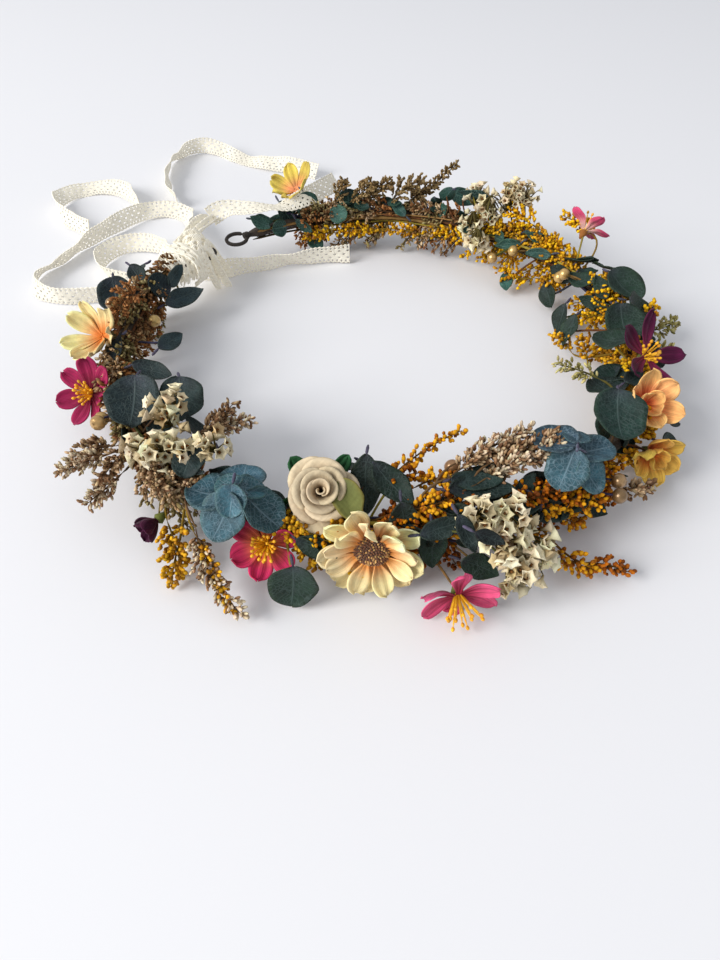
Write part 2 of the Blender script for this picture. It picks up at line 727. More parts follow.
def lace_strip(heap, line, rises, width, step=LACE_STEP, pleats=0.0, offset=0.0):
    """Openwork lace along a line; rises point across the band at each of its points."""
    even, distance = evenly(line, step)
    rise = unit(along_line(rises, np.linspace(0, 1, len(even))))
    normal = unit(np.cross(unit(np.gradient(even, axis=0)), rise))
    across = np.linspace(-1, 1, LACE_COLUMNS)
    d = distance[:, None]
    v = across[None]
    scallop = 1 - 0.045 * (1 - np.cos(TAU * d / HOLE_PITCH)) * (np.abs(v) > 0.9)
    reach = v * scallop * width / 2
    crinkle = 0.05 * np.sin(d * 1.9 + v * 2.0) + 0.40 * np.sin(d * 0.33 + v * 1.3)
    crinkle = crinkle + pleats * np.sin(v * math.pi * 2.4 + d * 0.12)
    points = even[:, None] + rise[:, None] * reach[..., None]
    points = points + normal[:, None] * (crinkle + offset)[..., None]
    faces = grid_faces(len(even), LACE_COLUMNS).reshape(len(even) - 1, LACE_COLUMNS - 1, 4)
    middle = (across[1:] + across[:-1])[None] / 2
    faces = faces[lace_keeps((d[1:] + d[:-1]) / 2, middle)]
    thread = 1 - 0.05 * np.abs(np.sin(d * 2.7)) * np.ones_like(reach)
    heap.add(points, faces, thread.reshape(-1, 1) * LACE_TINT, paired(d, v))


def lace_band(name):
    """One free stretch of the ribbon, leaning as it does along its way, its lower edge on the table."""
    path = spline_line(name, LACE_ROUTES[name])
    line = np.array(path) / MM
    share = np.linspace(0, 1, len(line))
    leans = LACE_LEAN[name]
    lean = np.radians(np.interp(share, np.linspace(0, 1, len(leans)), leans))
    tangent = unit(np.gradient(line, axis=0))
    sideways = unit(np.cross(UP, tangent))
    upright = np.cross(tangent, sideways)
    rises = upright * np.cos(lean)[:, None] + sideways * np.sin(lean)[:, None]
    drop = LACE_REST - LACE_W * LACE_SHOWN / 2 * np.abs(np.cos(lean)) - 0.5
    lying = smooth((LACE_REST + 1.5 - line[:, 2]) / 1.5)
    line[:, 2] -= drop * lying
    heap = Heap(name + "_detail")
    lace_strip(heap, line, rises, LACE_W * LACE_SHOWN)
    return heap, path


LACE_ENDS = {
    "lace_tail_low": "object",
    "lace_tail_loop": "object",
    "lace_tail_high": "bare",
    "lace_bow_loop": "object",
    "lace_inner_tail": "bare",
    "lace_drape": "object",
}
LACE_BLENDS = {"lace_drape": ("right_half", "left_half", (0.009, 0.09, 0.02), (0.03, 0.09, 0.02))}


def build_lace():
    """The six free stretches of the ribbon, each a limp cord."""
    for name, far_end in LACE_ENDS.items():
        heap, path = lace_band(name)
        made = heap.piece(thick=LACE_T, blend=LACE_BLENDS.get(name))


KNOT_WRAPS = (
    # along the ring from the knot's middle, radius, first and last angle round the ring, width
    (-2.6, 6.4, -60, 205, 7.0), (0.0, 7.4, -75, 235, 7.5), (2.8, 6.2, -50, 215, 7.0),
    (-1.2, 5.0, -90, 240, 6.5), (4.6, 4.6, -80, 230, 6.0), (1.4, 8.2, -35, 190, 6.0))
KNOT_FALLS = (
    # start, end, rise between them, width: pleats that hang to the table, then lead-ins of the free stretches
    ((-13, 86, 22.5), (-6.5, 82, 3.5), 6.5, 7.0),
    ((-12, 88, 23.0), (-2, 83.5, 1.2), 7.5, 8.5),
    ((-11, 90, 22.5), (1.0, 88, 2.6), 8.0, 8.0),
    ((-12, 91, 21.5), (4.5, 91, 1.4), 7.0, 8.5),
    ((-13, 92, 20.0), (3.0, 96, 3.5), 5.5, 7.5),
    ((-14, 90, 21.5), (10, 101.6, 21.6), 2.5, 7.5),
    ((-13, 88, 20.5), (-4.5, 97.5, 17.8), 2.0, 8.0),
    ((-15, 88, 17.5), (-12, 99.5, 13.8), 2.0, 8.0),
    ((-12, 90, 12.0), (-3, 94.5, 5.2), 0.5, 8.0))
KNOT_POINTS = 40         # points along each wrap and fall of the knot


def knot_wrap(heap, middle, offset, size, start, end, width):
    """One turn of gathered lace over the ring's end."""
    share = np.linspace(0, 1, KNOT_POINTS)
    tangent, outward = tube_frame(middle + offset)
    around = np.radians(mix(start, end, share))
    swell = size * (1 + 0.10 * np.sin(around * 2 + offset))
    line = ring_point(middle + offset) + outward * (np.cos(around) * swell)[:, None]
    line = line + UP * (np.sin(around) * swell)[:, None]
    line = line + tangent * (1.2 * np.sin(around * 1.5 + offset))[:, None]
    rises = np.broadcast_to(tangent, line.shape) + outward * (0.25 * np.sin(share * 5 + offset))[:, None]
    lace_strip(heap, line, rises, width, KNOT_STEP, pleats=0.6)


def knot_fall(heap, index, start, end, lift, width):
    """One pleat that hangs from the knot."""
    share = np.linspace(0, 1, KNOT_POINTS)
    flat = unit(np.cross(UP, np.subtract(end, start)))
    rises = flat + UP * (0.25 * np.sin(share * 4 + index))[:, None]
    line = arch(start, end, lift, KNOT_POINTS)
    lace_strip(heap, line, rises, width, KNOT_STEP, pleats=1.1, offset=1.1 * math.sin(index * 2.1))


def build_knot():
    """The knot: gathered lace wrapped over the ring's end, with pleats that hang from it to the table."""
    low, high = (np.array(c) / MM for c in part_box("lace_knot"))
    middle = math.degrees(math.atan2((low[1] + high[1]) / 2, (low[0] + high[0]) / 2))
    heap = Heap("lace_knot_detail")
    for row in KNOT_WRAPS:
        knot_wrap(heap, middle, *row)
    for index, row in enumerate(KNOT_FALLS):
        knot_fall(heap, index, *row)
    heap.piece(thick=LACE_T)


# ---- ring ----------------------------------------------------------------------------------------

TAPE_TINT = rgb(62, 48, 36)
WIRE_TINT = rgb(50, 42, 36)
TAPE_R = WRAP_R * 0.66   # the tape alone; the stems bound beside it fill the rest
TAPE_SIDES = 20
TAPE_TURN = 3.6          # degrees of the ring for each turn of the tape
BEND_HALF = 0.004        # metres on each side of the front bend that turn smoothly
RING_BLEND = ("right_half", "left_half",
              (-BEND_HALF, -RING_R * MM, RING_Z * MM), (BEND_HALF, -RING_R * MM, RING_Z * MM))
EYE_LONG = 4.4           # half length and half width of an end loop
EYE_WIDE = 3.7


def ring_line(start, end, step):
    """Points of the ring's centreline between two angles, about a step of degrees apart."""
    return np.array([ring_point(a) for a in np.linspace(start, end, int(abs(end - start) / step))])


def build_wire():
    """The covered wire in one length, bending at the front."""
    heap = Heap("frame_wire_detail")
    line = ring_line(END_ANGLES["right"] - 1.0, END_ANGLES["left"] + 361.0, 0.5)
    tube(heap, line, WIRE_R, WIRE_TINT, 10)
    heap.piece(("frame_wire_right", "frame_wire_left"), blend=RING_BLEND)


def build_tape():
    """The tape wound round the wire and its stems, bending at the front."""
    start = END_ANGLES["right"]
    end = END_ANGLES["left"] + 360
    heap = Heap("stem_wrap_detail")
    line = ring_line(start, end, 0.25)
    theta, circles = circles_along(line, TAPE_SIDES)
    along = np.linspace(0, end - start, len(line))[:, None]
    turns = (along / TAPE_TURN - theta[None] / TAU) % 1.0
    stems = 1 + 0.13 * np.sin(theta[None] * 5 + along * 0.11) + 0.10 * np.sin(along * 0.9)
    radii = TAPE_R * stems * (0.92 + 0.14 * turns)
    radii *= 0.55 + 0.45 * smooth(np.minimum(along, along[-1] - along) / 3.0)
    shade = (0.65 + 0.5 * turns).reshape(-1, 1)
    heap.add(line[:, None] + radii[..., None] * circles, grid_faces(len(line), TAPE_SIDES, closed=True),
             TAPE_TINT * shade, paired(along / 60, turns))
    heap.piece(("stem_wrap_right", "stem_wrap_left"), blend=RING_BLEND)


def build_end_loop(side):
    """The wire's own end bent into an eye and twisted back round itself."""
    low, high = (np.array(c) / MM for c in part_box("end_loop_" + side))
    centre = (low + high) / 2
    angle = math.degrees(math.atan2(centre[1], centre[0]))
    tangent, outward = tube_frame(angle)
    away = tangent if side == "left" else -tangent
    heap = Heap("end_loop_" + side + "_detail")
    around = np.linspace(-0.86, 0.86, 30)[:, None] * math.pi
    eye = centre + away * (0.2 + EYE_LONG * np.cos(around)) + outward * EYE_WIDE * np.sin(around)
    tube(heap, eye + UP * 0.5 * np.sin(around), WIRE_R * 0.85, WIRE_TINT, 8)
    root = ring_point(END_ANGLES[side])
    neck = centre - away * (EYE_LONG - 0.8)
    turns = np.linspace(0, TAU * 2.5, 36)[:, None]
    share = np.linspace(0, 1, 36)[:, None]
    twist = mix(root, neck, share) + outward * np.cos(turns) + UP * np.sin(turns)
    tube(heap, twist, WIRE_R * 0.7, WIRE_TINT * 0.8, 7)
    heap.piece()


# ---- leaves --------------------------------------------------------------------------------------

WHORLS = {
    # centre, then azimuth, distance out, drop, diameter, lean of each round leaf
    "eucalyptus_rosette": ((197.8, 91.5, 25), [
        (120, 6.0, 1.2, 14.5, 14), (40, 6.5, 1.6, 13.5, 18), (195, 6.0, 1.6, 13.0, 40),
        (285, 7.0, 2.4, 12.5, 38), (215, 3.4, -2.2, 8.5, 48), (330, 3.6, -1.6, 8.5, 30),
        (90, 2.5, -2.0, 8.0, 18)]),
    "eucalyptus_sprig": ((257.5, 87, 27.5), [
        (95, 5.8, -0.8, 12.5, 12), (195, 5.6, 1.2, 12, 30), (330, 6.0, 0.8, 12, 4),
        (262, 6.0, 3.4, 10.5, 40), (30, 3.2, -2.6, 8, 20)]),
}
WHORL_STALK_TIPS = [(198.5, 94, 24), (257, 90, 28)]
LEAF_PLACES = {
    # angle, radius, height, length, width (0 = round), lean, turn, spin
    "end_leaves": [
        (111, 97, 18, 9, 6, 40, 30, 60), (118, 101, 15, 13, 0, 40, 120, 0), (114, 94, 21, 9, 6, 35, 120, 30),
        (112, 79, 13, 16, 6.5, 55, 160, 85), (143, 88, 20, 12, 5, 30, 20, 40),
        (152, 77, 20, 12, 6, 25, 90, 60), (140, 71, 19, 11, 5.5, 40, 150, 80)],
    "side_leaves": [
        (165.5, 86, 25, 15.5, 0, 24, 60, 0), (170, 74.5, 24.5, 13.5, 0, 22, 60, 0),
        (180, 77, 22, 12, 7, 30, 170, 100), (186, 88, 25, 9, 0, 28, 20, 0)],
    "front_leaves": [
        (209, 102, 8.5, 13, 0, 76, 10, 0), (211.5, 94, 15, 11, 5.5, 50, 0, 75),
        (217.5, 72, 22, 10, 7, 35, 170, 60), (218.5, 78, 23, 15, 7.6, 40, 0, 0),
        (221.5, 74, 21, 12, 7, 40, 10, 40), (223.5, 79, 24, 14, 7, 30, 10, 30),
        (225.5, 88, 20, 11, 7, 60, 0, 10), (229.5, 94, 17, 11, 6.8, 58, 0, 0),
        (236, 93, 15, 8, 3.4, 45, 0, 80), (236.5, 98, 11, 11, 6.4, 60, 0, 60)],
    "front_right_leaves": [
        (230.5, 94, 24, 11, 5, 45, 0, 100), (233.5, 98, 26, 10, 4.0, 50, 0, 20),
        (236, 101, 27, 8, 3.2, 55, 0, 60), (239.5, 83, 24, 17, 6.5, 30, 0, 85),
        (239, 82, 25, 13, 5, 25, 0, 75), (251, 90, 16, 14, 9, 40, 0, 60),
        (243, 91, 20, 15, 4.6, 30, 0, 80), (259, 95, 12, 11, 6, 50, 0, 40),
        (251, 92, 17, 12, 7.5, 48, 10, 30), (242, 80, 23, 15, 6, 20, 0, 85)],
    "bend_leaves": [
        (276.5, 86, 15, 13.5, 0, 32, -30, 0), (292, 78, 17, 10, 7, 35, 180, 20),
        (286, 85, 25, 9, 5, 20, 0, 60), (290, 97, 13, 12, 7, 45, 0, 90),
        (283, 101, 9, 11, 7, 50, 0, 60), (273.5, 86, 25, 15, 0, 22, -60, 0), (284, 79, 21, 12, 0, 20, 150, 0),
        (287, 97, 16, 12, 0, 40, 0, 0), (291, 80, 19, 12, 0, 20, 150, 30)],
    "side_leaves_left": [
        (314, 86, 17, 11, 7.6, 35, 0, 70), (324, 90, 20, 11, 8, 30, 0, 0), (322, 97, 18, 9, 7, 45, 0, 40),
        (335, 90, 16, 12, 6, 45, 20, 80), (341, 80, 6, 10, 6.5, 60, 180, 60),
        (329, 74, 7, 11, 7, 62, 180, 20), (322, 89, 24, 14, 0, 24, -60, 0), (308, 83, 23, 14, 0, 22, -80, 0),
        (315, 91, 22, 12, 0, 35, -30, 20), (317, 70, 12, 12, 7, 50, 180, 40),
        (300, 78, 24, 12, 0, 18, 160, 0), (333, 92, 22, 11, 6, 30, 30, 60)],
    "back_leaves": [
        (15, 92, 27, 13, 5.6, 70, 0, 90), (22, 90, 26, 9, 6, 60, 10, 30), (25, 92, 21, 9, 4.5, 50, 0, 0),
        (47, 91, 17, 12, 7.6, 55, 190, 10), (38, 92, 18, 9, 6.4, 50, 180, 60),
        (68, 92, 15, 12, 6, 45, 170, 80), (61, 90, 16, 9, 7, 50, 190, 30), (60, 85, 7, 9, 6, 50, 180, 20),
        (355, 75, 5, 9, 5, 25, 180, 40), (74, 90, 19, 8, 4.5, 50, 170, 70),
        (49, 91, 20, 11, 0, 55, 190, 0), (67, 90, 20, 10, 6.5, 60, 190, 20),
        (61, 90, 21, 11, 0, 62, 190, 0), (19, 100, 22, 12, 6.5, 60, 200, 70)],
}
LEAF_INKS = {
    "eucalyptus_rosette": rgb(52, 84, 96),
    "eucalyptus_sprig": rgb(46, 76, 87),
    "end_leaves": rgb(34, 48, 52),
    "side_leaves": rgb(27, 42, 42),
    "front_leaves": rgb(28, 44, 34),
    "front_right_leaves": rgb(26, 42, 40),
    "bend_leaves": rgb(24, 42, 38),
    "side_leaves_left": rgb(26, 44, 34),
    "back_leaves": rgb(34, 66, 58),
}
LEAF_STALK_TINT = rgb(72, 66, 86)
LEAF_ROWS = 17
LEAF_COLUMNS = 11
LEAF_T = 0.3
HEART_CLEAR = 11.0       # how far leaves keep from the middle of a flower
TUCKED = {
    # leaves tucked between the flowers: first and last angle, how many, least and most length
    "end_leaves": (102, 158, 9, 8, 12),
    "side_leaves": (160, 197, 12, 9, 13),
    "front_leaves": (200, 238, 22, 9, 14),
    "front_right_leaves": (238, 266, 16, 9, 14),
    "bend_leaves": (274, 298, 15, 9, 14),
    "side_leaves_left": (302, 345, 22, 8, 13),
    "back_leaves": (347, 436, 24, 7, 11),
}


def leaf(heap, length, width, place, ink):
    """One leaf, its middle at the place: cupped along and across, wavy at the rim, on a short stalk."""
    rng = heap.rng
    s = ((1 - np.cos(np.linspace(0.04, 0.985, LEAF_ROWS) * math.pi)) / 2)[:, None]
    v = np.linspace(-1, 1, LEAF_COLUMNS)[None]
    if width:
        half = width / 2 * np.sin(math.pi * s ** 0.88) ** 0.72
    else:
        half = length / 2 * np.sqrt(4 * s * (1 - s)) * (1 - 0.10 * s)
    wave = 1 + 0.035 * np.sin(s * rng.uniform(9, 16) + v * 2 + rng.uniform(0, TAU))
    y = v * half * wave + length * rng.normal() * 0.05 * s * s
    dish = length * rng.uniform(0.04, 0.15) * (2 * s - 1) ** 2
    cup = half * (rng.uniform(0.05, 0.30) * v ** 2 + 0.10 * np.abs(v) ** 0.7)
    ripple = 0.035 * length * v ** 2 * np.sin(s * rng.uniform(5, 11) + np.sign(v) * 1.3 + rng.uniform(0, TAU))
    z = dish + cup + ripple + length * rng.normal() * 0.03 * s * v
    points = paired((s - 0.5) * length, y, z)
    rim = np.clip(np.abs(v) ** 8 + (2 * s - 1) ** 16, 0, 1)
    ink = heap.vary(ink, 0.25)
    tints = mix(ink, ink * (1.5, 1.1, 0.8), 0.7 * rim[..., None])
    tints = mix(tints, LEAF_STALK_TINT, 0.45 * ((1 - s) ** 6 * (1 - v ** 2))[..., None])
    tints = np.clip(tints, 0, 1).reshape(-1, 3)
    heap.add(points, grid_faces(LEAF_ROWS, LEAF_COLUMNS), tints, paired(s, v), place)
    stalk = arch((-length / 2 - 2.6, rng.normal() * 0.5, -0.8), (-length / 2, 0, length * 0.06), -0.3, 5)
    tube(heap, stalk @ place[:3, :3].T + place[:3, 3], 0.34, heap.vary(LEAF_STALK_TINT), 5, 0.8)


def hugging(angle, around, reach, heading):
    """A place beside the ring: +Z straight away from it, +X along it, turned by heading."""
    tangent, outward = tube_frame(angle)
    push = outward * math.cos(around) + UP * math.sin(around)
    place = np.eye(4)
    place[:3, 2] = push
    place[:3, 0] = tangent
    place[:3, 1] = np.cross(push, tangent)
    place[:3, 3] = ring_point(angle) + push * reach
    return place @ turned("Z", heading)


def is_open(spot):
    """Whether a spot is clear of the hearts of the flowers."""
    hearts = [ROSE_PLACE, DAISY_PLACE] + [row[0] for row in (*OPEN_FLOWERS.values(), *PEACH_FLOWERS)]
    return all(np.linalg.norm(spot - ring_point(*heart[:3])) > HEART_CLEAR for heart in hearts)


def tuck_leaves(heap, ink, first, last, count, least, most):
    """Leaves that hug the ring between two angles, a quarter of them round."""
    rng = heap.rng
    for i in range(count):
        angle = mix(first, last, (i + rng.random()) / count)
        around = math.radians(rng.uniform(-15, 195))
        heading = rng.normal() * 35 + (180 if rng.random() < 0.4 else 0)
        place = hugging(angle, around, rng.uniform(3.4, 6.0), heading) @ turned("Y", -rng.uniform(5, 40))
        place = place @ turned("X", rng.normal() * 25)
        length = rng.uniform(least, most)
        width = 0 if rng.random() < 0.25 else length * rng.uniform(0.40, 0.62)
        if is_open(place[:3, 3]):
            leaf(heap, length * (1 if width else 0.8), width, place, ink)


def build_leaves():
    """The two eucalyptus whorls, and the leaves placed one by one or tucked between the flowers."""
    for name, (centre, rows) in WHORLS.items():
        heap = Heap(name + "_detail")
        hub = shifted(ring_point(*centre))
        for azimuth, out, drop, diameter, lean in rows:
            place = hub @ turned("Z", azimuth) @ shifted((out, 0, -drop)) @ turned("Y", lean)
            leaf(heap, diameter, 0, place, LEAF_INKS[name])
        heap.piece(thick=LEAF_T)
    for name, places in LEAF_PLACES.items():
        heap = Heap(name + "_detail")
        for angle, radius, height, length, width, lean, turn, spin in places:
            place = facing(angle, radius, height, lean, turn, spin)
            leaf(heap, length * 1.06, width * 1.12, place, LEAF_INKS[name])
        tuck_leaves(heap, LEAF_INKS[name], *TUCKED[name])
        heap.piece(thick=LEAF_T)


# ---- flowers -------------------------------------------------------------------------------------

ROSE_PLACE = (210.5, 81, 21, 34, 12)
ROSE_PETALS = 14
ROSE_ROWS = 21
ROSE_COLUMNS = 17
ROSE_T = 0.3
PETAL_ROWS = 15
PETAL_COLUMNS = 11
PETAL_T = 0.25
DAISY_PLACE = (220.2, 92.5, 15.5, 78, -2)
DAISY_SEEDS = 330
PURPLE_BUD_PLACE = (183.5, 100, 9, 92, 0)
ROSE_DEEP = rgb(112, 78, 48)
ROSE_RIM = rgb(218, 200, 168)
STAMEN_TINT = rgb(242, 184, 36)
CALYX_TINT = rgb(98, 104, 50)
SEED = lathe(((0, 0.1), (0.3, 0.36), (0.7, 0.3), (1, 0.04)), 5)
BUD = lathe(((0, 0.08), (0.22, 0.32), (0.55, 0.40), (0.85, 0.26), (1, 0.03)), 5)
SCALE = lathe(((0, 0.05), (0.35, 0.24), (0.75, 0.22), (1, 0.10)), 5)
FUNNEL = lathe(((0, 0.06), (0.4, 0.13), (0.70, 0.36), (1, 0.58)), 10, lobes=5, ripple=0.22)
BEAD = lathe([(0.5 - 0.47 * math.cos(a), 0.5 * math.sin(a) + 0.005) for a in np.linspace(0, math.pi, 9)]
             + [(1.03, 0.03)], 12)

OPEN_FLOWERS = {
    # place, petals, length, width, rise, stamens, their length
    "yellow_flower": ((136.5, 93, 19, 46, 50), 7, 12.5, 6.0, 38, 0, 0),
    "magenta_flower": ((150.5, 97, 14, 48, 40), 7, 10.5, 6.6, 12, 18, 5.4),
    "pink_flower": ((203, 94, 12, 50, 10), 6, 9, 6.6, 14, 22, 5.2),
    "low_pink_flower": ((232.5, 103, 8, 96, -4), 6, 10.5, 5.6, 8, 14, 8.0),
    "purple_flower": ((295.5, 87, 24, 34, -40), 5, 14, 6.0, 12, 14, 5.5),
    "trumpet_flower": ((344, 96, 27, 58, 20), 5, 9.0, 4.6, 42, 8, 6.5),
    "back_flower": ((62, 99, 24, 30, 100), 6, 11.5, 6.6, 34, 0, 0),
}
FLOWER_INKS = {
    # colours at the root of a petal and at its tip
    "yellow_flower": (rgb(226, 128, 50), rgb(254, 232, 168)),
    "magenta_flower": (rgb(110, 16, 40), rgb(164, 34, 84)),
    "pink_flower": (rgb(222, 120, 60), rgb(200, 46, 92)),
    "low_pink_flower": (rgb(150, 30, 60), rgb(222, 84, 128)),
    "purple_flower": (rgb(128, 40, 74), rgb(84, 20, 58)),
    "trumpet_flower": (rgb(232, 188, 176), rgb(206, 72, 112)),
    "back_flower": (rgb(230, 150, 104), rgb(218, 196, 92)),
}
CURLS = {"trumpet_flower": -0.35}    # how far the tips roll, as a share of the petal's length
CALYX_TINTS = {"trumpet_flower": rgb(160, 100, 50)}
PEACH_FLOWERS = (
    # place, length of a petal, colours at its root and at its tip
    ((282, 90, 22, 42, -50), 10.4, rgb(228, 96, 62), rgb(246, 190, 120)),
    ((279, 97, 10, 72, -46), 9.6, rgb(230, 120, 60), rgb(242, 196, 92)))


def petal(heap, length, width, place, root_ink, tip_ink, notch=0.0, pleat=0.05, cup=0.25, curl=0.0):
    """One pressed petal from its foot along +X: pleated lengthwise, cupped, with a round or notched tip."""
    rng = heap.rng
    s = np.linspace(0, 1, PETAL_ROWS)[:, None]
    v = np.linspace(-1, 1, PETAL_COLUMNS)[None]
    spread = 0.26 + 0.74 * smooth(s / 0.62)
    end = np.sqrt(np.clip(1 - np.clip((s - 0.6) / 0.4, 0, 1) ** 2.4, 0.003, 1))
    half = width / 2 * spread * end
    frill = 0.02 * np.sin(v * 6 + rng.uniform(0, TAU)) * s
    x = length * (s - notch * s ** 8 * np.exp(-(v / 0.35) ** 2) + frill)
    dish = 0.12 * length * (2 * s - 1) ** 2
    folds = pleat * width * np.cos(v * math.pi * rng.uniform(2.0, 3.0) + rng.normal())
    folds = folds * (0.3 + s * (1 - s) * 3)
    z = dish + cup * half * v ** 2 + folds + curl * length * smooth(s * 1.6 - 0.6)
    z = z + rng.normal() * 0.06 * length * s * v
    tip = heap.vary(tip_ink, 0.13)
    root = heap.vary(root_ink, 0.13)
    share = smooth(s * 1.5 - 0.15 + 0.12 * np.abs(v))[..., None]
    tints = mix(root, tip, share) * (1 + 0.15 * (np.abs(v) ** 3 - 0.3))[..., None]
    tints = np.clip(tints, 0, 1).reshape(-1, 3)
    heap.add(paired(x, v * half, z), grid_faces(PETAL_ROWS, PETAL_COLUMNS), tints, paired(s, v), place)


def corolla(heap, place, count, inner, length, width, rise, inks, start=0.0, lift=0.0, fold=0.0, **shape):
    """count petals round local +Z, each rising by rise degrees; those on the -X side rise by fold more."""
    rng = heap.rng
    for i in range(count):
        turn = start + 360.0 * i / count + rng.normal() * 4
        up = rise + fold * (1 - math.cos(math.radians(turn))) / 2 + rng.normal() * 5
        at = place @ turned("Z", turn) @ shifted((inner, 0, lift)) @ turned("Y", -up)
        at = at @ turned("X", rng.normal() * 9)
        petal(heap, length * (1 + 0.05 * rng.normal()), width * (1 + 0.05 * rng.normal()), at, *inks, **shape)


def calyx(heap, place, radius=1.6, depth=3.0, ink=CALYX_TINT):
    """The small green cup behind a flower."""
    profile = ((-depth, 0.3), (-depth * 0.6, radius * 0.55), (-0.2, radius), (0.5, radius * 0.6))
    points, faces, _ = lathe(profile, 9)
    heap.add(points, faces, heap.vary(ink), place=place)


def stamens(heap, place, count, length, spread=30.0):
    """Waxed threads that fan out of the middle, each ending in a bead of pollen."""
    rng = heap.rng
    tips = []
    axes = []
    for i in range(count):
        tilt = math.radians(spread) * math.sqrt((i + 0.5) / count) * rng.uniform(0.8, 1.2)
        around = i * GOLDEN
        out = np.array((math.cos(around), math.sin(around), 0))
        axis = out * math.sin(tilt) + UP * math.cos(tilt)
        reach = length * rng.uniform(0.75, 1.1)
        line = arch(out * 0.5, out * 0.5 + axis * reach, 0.0, 6)
        line = line + out * (reach * 0.12 * np.linspace(0, 1, 6) ** 2)[:, None]
        line = line @ place[:3, :3].T + place[:3, 3]
        tube(heap, line, 0.30, heap.vary(STAMEN_TINT, 0.1), 6, 0.85)
        tips.append(line[-1])
        axes.append(line[-1] - line[-2])
    scatter(heap, BUD, np.array(tips) - unit(np.array(axes)) * 0.5, axes, 1.35, STAMEN_TINT * (1.0, 0.9, 0.7),
            (0.9, 0.8, 0.7))


def rose_petal(heap, place, index, count):
    """One petal of the spiral: inner ones wrap the bud, outer ones open wide and roll back at the lip."""
    rng = heap.rng
    t = index / (count - 1)
    s = np.linspace(0, 1, ROSE_ROWS)[:, None]
    v = np.linspace(-1, 1, ROSE_COLUMNS)[None]
    reach = mix(6.8, 11.4, t) * (1 - 0.30 * np.abs(v) ** 2.6) * (1 + 0.03 * rng.normal())
    opening = mix(0.10, 1.42, t ** 0.75)
    roll = mix(0.3, 1.7, t ** 0.7) * np.clip((s - 0.84) / 0.16, 0, 1) ** 1.5
    slope = opening * (0.30 + 0.95 * s) + roll
    step = np.full((ROSE_ROWS, 1), 1 / (ROSE_ROWS - 1))
    step[0] = 0
    radius = mix(0.5, 2.0, t) + np.cumsum(np.sin(slope) * step, axis=0) * reach
    z = mix(3.0, -0.6, t) + np.cumsum(np.cos(slope) * step, axis=0) * reach
    radius = radius * (1 + mix(0.22, 0.10, t) * v) + 0.25 * np.sin(3 * v + index * 2.3) * s * (0.2 + t)
    z = z + 0.35 * t * np.sin(4 * v + index * 1.9) * s
    wrap = math.radians(mix(140, 52, t ** 0.6)) * (0.72 + 0.28 * s)
    around = index * GOLDEN + v * wrap
    light = heap.vary(ROSE_RIM, 0.04)
    share = smooth(s * 1.15 - 0.12)[..., None] * np.ones_like(v)[..., None]
    tints = np.clip(mix(ROSE_DEEP, light, share * mix(0.78, 1.0, t)), 0, 1).reshape(-1, 3)
    points = paired(radius * np.cos(around), radius * np.sin(around), z)
    heap.add(points, grid_faces(ROSE_ROWS, ROSE_COLUMNS), tints, paired(s, v), place)


def build_rose():
    """The paper rose, its sepals and calyx, and the leaf beside it."""
    place = facing(*ROSE_PLACE)
    rose = Heap("rose_petals_detail")
    for i in range(ROSE_PETALS):
        rose_petal(rose, place, i, ROSE_PETALS)
    rose.piece(thick=ROSE_T)
    green = Heap("rose_calyx_detail")
    inks = (rgb(34, 70, 42), rgb(38, 84, 48))
    corolla(green, place, 5, 2.0, 10.5, 4.6, 2, inks, lift=-2.4, pleat=0.1)
    calyx(green, place @ shifted((0, 0, -1.0)), 3.4, 3.4, rgb(82, 92, 44))
    leaf(green, 12.0, 8.0, facing(216, 85.5, 25, 34, 0, 25), rgb(158, 164, 92))
    green.piece(thick=PETAL_T)


def build_daisy_petals():
    """Two layers of long petals that face down and forwards, folded up where they meet the table."""
    place = facing(*DAISY_PLACE)
    heap = Heap("daisy_petals_detail")
    inks = (rgb(220, 138, 60), rgb(254, 232, 176))
    corolla(heap, place, 9, 3.8, 11.0, 6.8, 2, inks, fold=20, pleat=0.045, cup=0.34, notch=0.06)
    corolla(heap, place, 9, 3.8, 9.8, 6.4, 14, inks, start=20, lift=0.8, fold=24, pleat=0.05, cup=0.34,
            notch=0.06)
    calyx(heap, place, 3.4, 3.6)
    heap.piece(thick=PETAL_T)


def build_daisy_centre():
    """A domed disc set with seeds."""
    place = facing(*DAISY_PLACE)
    heap = Heap("daisy_centre_detail")
    profile = [(0.3 + 3.6 * math.sin(a), 4.9 * math.cos(a)) for a in np.linspace(0, math.pi / 2 * 0.97, 7)]
    points, faces, _ = lathe(profile, 20)
    heap.add(points, faces, rgb(84, 54, 34), place=place)
    axes = dome(DAISY_SEEDS, 0.98)
    spots = axes * (4.7, 4.7, 3.5) @ place[:3, :3].T + place[:3, 3]
    inks = np.where(heap.rng.random((DAISY_SEEDS, 1)) < 0.3, rgb(196, 150, 90), rgb(120, 74, 44))
    scatter(heap, SEED, spots, axes @ place[:3, :3].T, 0.95, inks, (0.4, 0.35, 0.3))
    heap.piece()


def build_open_flowers():
    """The single flowers, some with a bundle of stamens."""
    for name, (place, count, length, width, rise, threads, reach) in OPEN_FLOWERS.items():
        at = facing(*place)
        petals = Heap(name + "_petals_detail")
        corolla(petals, at, count, 1.0, length, width, rise, FLOWER_INKS[name], notch=0.04,
                curl=CURLS.get(name, 0.0))
        calyx(petals, at, ink=CALYX_TINTS.get(name, CALYX_TINT))
        petals.piece(thick=PETAL_T)
        if threads:
            fan = Heap(name + "_stamens_detail")
            stamens(fan, at, threads, reach)
            fan.piece()


